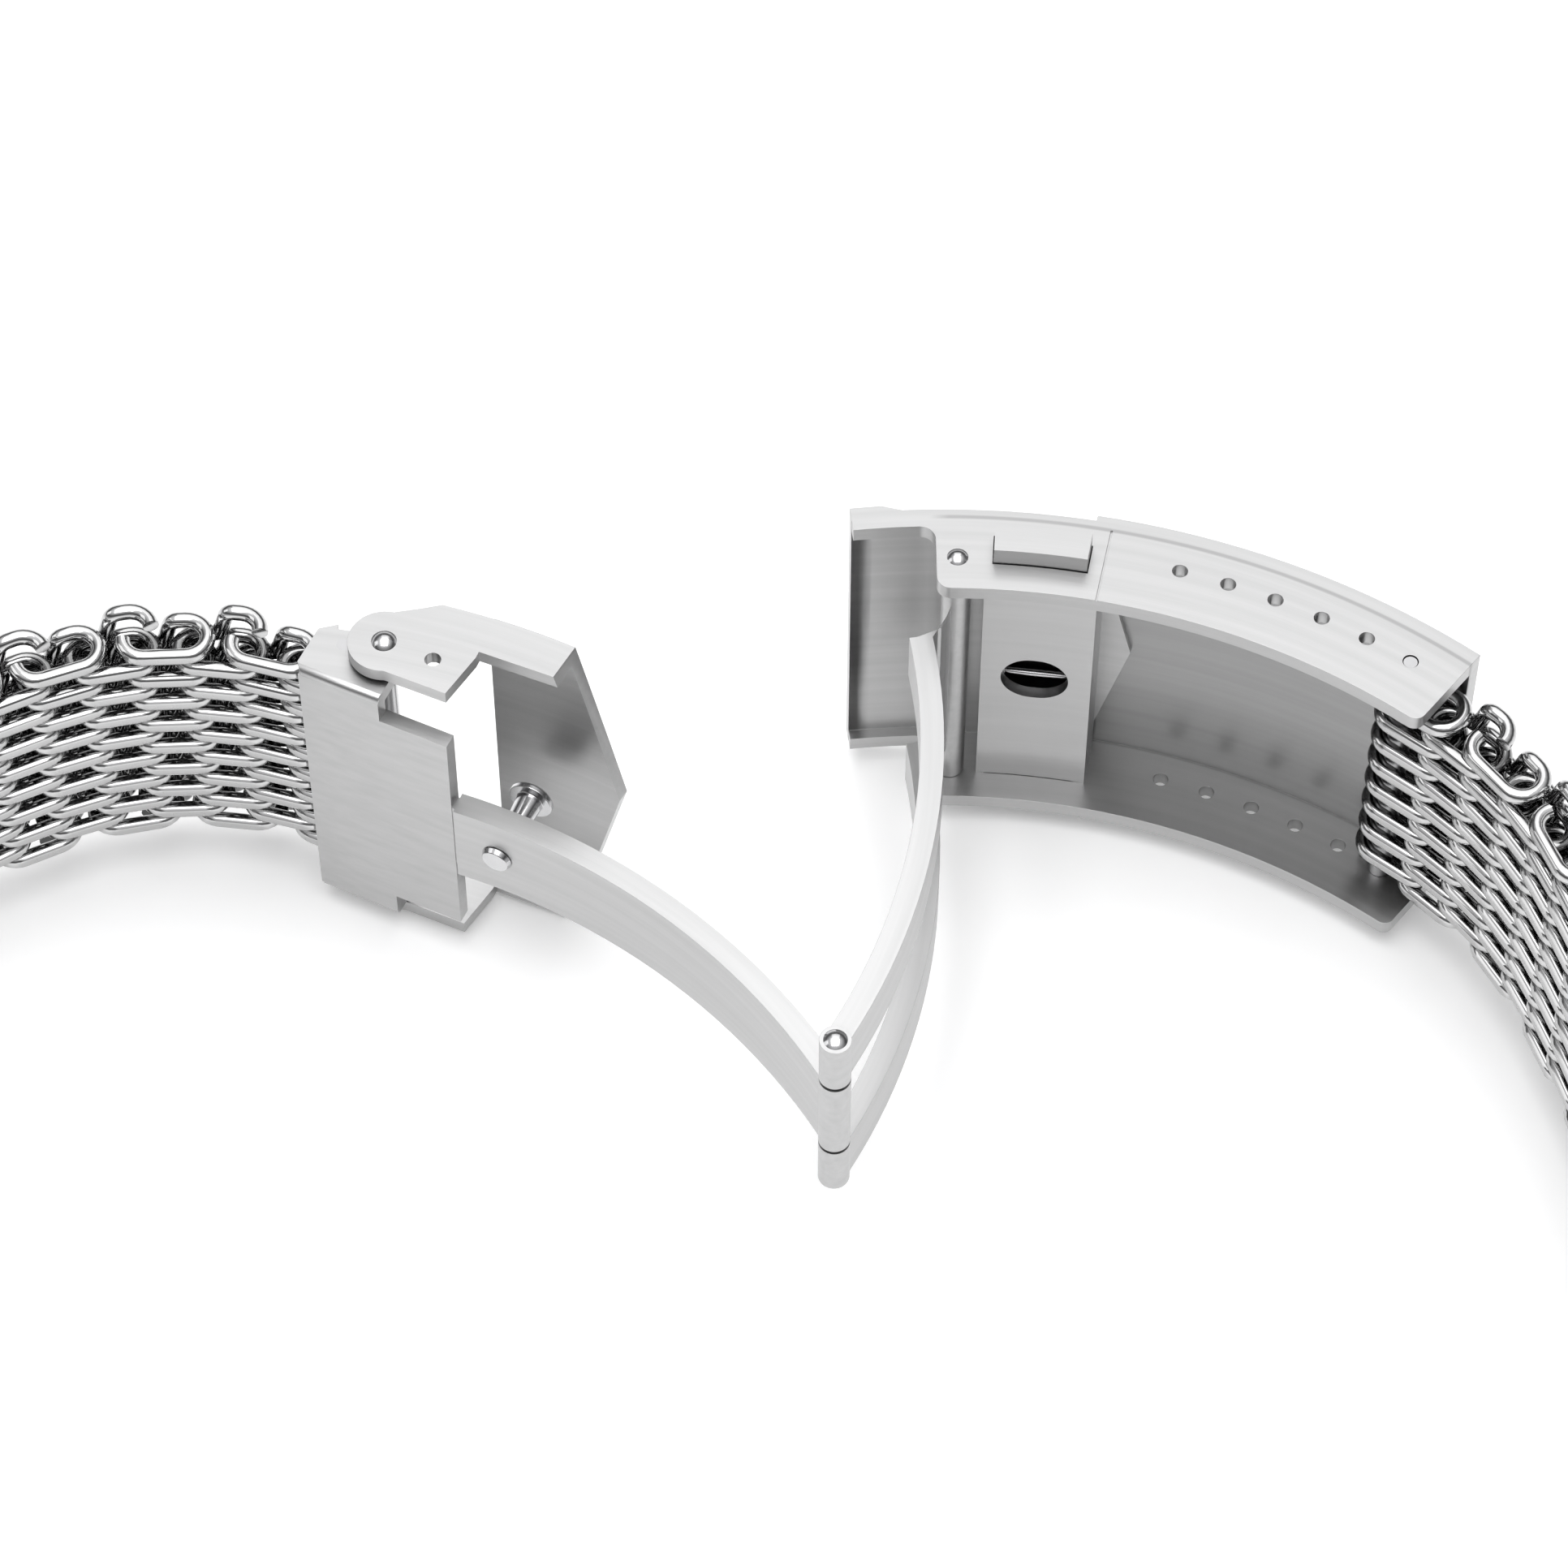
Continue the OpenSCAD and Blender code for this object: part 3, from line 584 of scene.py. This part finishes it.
# %% [markdown]
# The wire is grey where it is ground and bright elsewhere. The attribute deep darkens it
# towards the middle of the mesh, which is painted shade and not the work of the lamps.

# %% Mesh wire finish
mesh_paint = bpy.data.materials.new("polished mesh wire")
mesh_paint.use_nodes = True
mt = mesh_paint.node_tree
m_shader = mt.nodes["Principled BSDF"]
m_shader.inputs["Metallic"].default_value = 1
m_attr = mt.nodes.new("ShaderNodeAttribute")
m_attr.attribute_name = "ground"
m_co = mt.nodes.new("ShaderNodeTexCoord")
m_noise = mt.nodes.new("ShaderNodeTexNoise")
m_noise.inputs["Scale"].default_value = 1500
m_noise.inputs["Detail"].default_value = 3
join(mt, m_co.outputs["Object"], m_noise.inputs["Vector"])
bright_rough = map_range(mt, m_noise.outputs["Fac"], 0.06, 0.14)
ground_rough = map_range(mt, m_noise.outputs["Fac"], 0.2, 0.32)
m_mix = mt.nodes.new("ShaderNodeMix")
join(mt, m_attr.outputs["Fac"], m_mix.inputs["Factor"])
join(mt, bright_rough, m_mix.inputs["A"])
join(mt, ground_rough, m_mix.inputs["B"])
join(mt, m_mix.outputs["Result"], m_shader.inputs["Roughness"])
m_deep = mt.nodes.new("ShaderNodeAttribute")
m_deep.attribute_name = "deep"
m_tone = math_node(mt, "MULTIPLY_ADD", m_attr.outputs["Fac"], -0.08, 0.56)
m_dark = math_node(mt, "MULTIPLY_ADD", m_deep.outputs["Fac"], -0.85, 1.0)
join(mt, math_node(mt, "MULTIPLY", m_tone, m_dark), m_shader.inputs["Base Color"])

# %% Wind the thirty-two rows


def middle(node):
    """Middle of a CAD node in the plane, in metres."""
    low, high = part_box(node)
    return (low + high) / 2


def row_places(side):
    """Centre and direction of each row of a strip, from the hinges between the rows."""
    pins = [Vector(joints[f"{side}_row_{i:02d}"]["pos_m"]) for i in range(1, 17)]
    pins.append(middle(f"{side}_lug_bar_barrel"))
    places = []
    for i in range(16):
        along = (pins[i + 1] - pins[i]).normalized()
        inner = pins[i + 1] if i == 0 else pins[i]
        shift = -1 if i == 0 else 1
        places.append((inner + along * (shift * ROW_PITCH / 2 * MM), along))
    return places


FACE_DROP = 0.1
mid_height = (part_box("clasp_cover")[0].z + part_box("clasp_cover")[1].z) / 2
for side in ("left", "right"):
    for i, (centre, along) in enumerate(row_places(side)):
        node = f"{side}_row_{i + 1:02d}"
        odd = (i % 2 == 0) if side == "left" else (i % 2 == 1)
        pts = [tuple(v * MM for v in p) for p in row_path(odd)]
        line = bpy.data.meshes.new(node + " path")
        line.from_pydata(pts, [(k, k + 1) for k in range(len(pts) - 1)], [])
        holder = bpy.data.objects.new(node + " path", line)
        scene.collection.objects.link(holder)
        turn_angle = math.atan2(along.y, along.x) + (math.pi if side == "left" else 0)
        modifier = holder.modifiers.new("wind", "NODES")
        modifier.node_group = wire_tree
        modifier[sockets["Wire Radius"]] = WIRE / 2 * MM
        modifier[sockets["Face Level"]] = (THICK / 2 - FACE_DROP) * MM
        modifier[sockets["Turn"]] = turn_angle
        modifier[sockets["Place"]] = (centre.x, centre.y, mid_height)
        modifier[sockets["Finish"]] = mesh_paint
        depsgraph = bpy.context.evaluated_depsgraph_get()
        made = bpy.data.meshes.new_from_object(holder.evaluated_get(depsgraph))
        holder.modifiers.remove(modifier)
        bpy.data.objects.remove(holder)
        made.name = node + " wound"
        made.set_sharp_from_angle(angle=math.radians(35))
        piece = bpy.data.objects.new(node + "_wound", made)
        scene.collection.objects.link(piece)
        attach(piece, nodes[node]["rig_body"])
        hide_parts(node)
print("wound rows:", 32, "of", len(made.polygons), "faces")
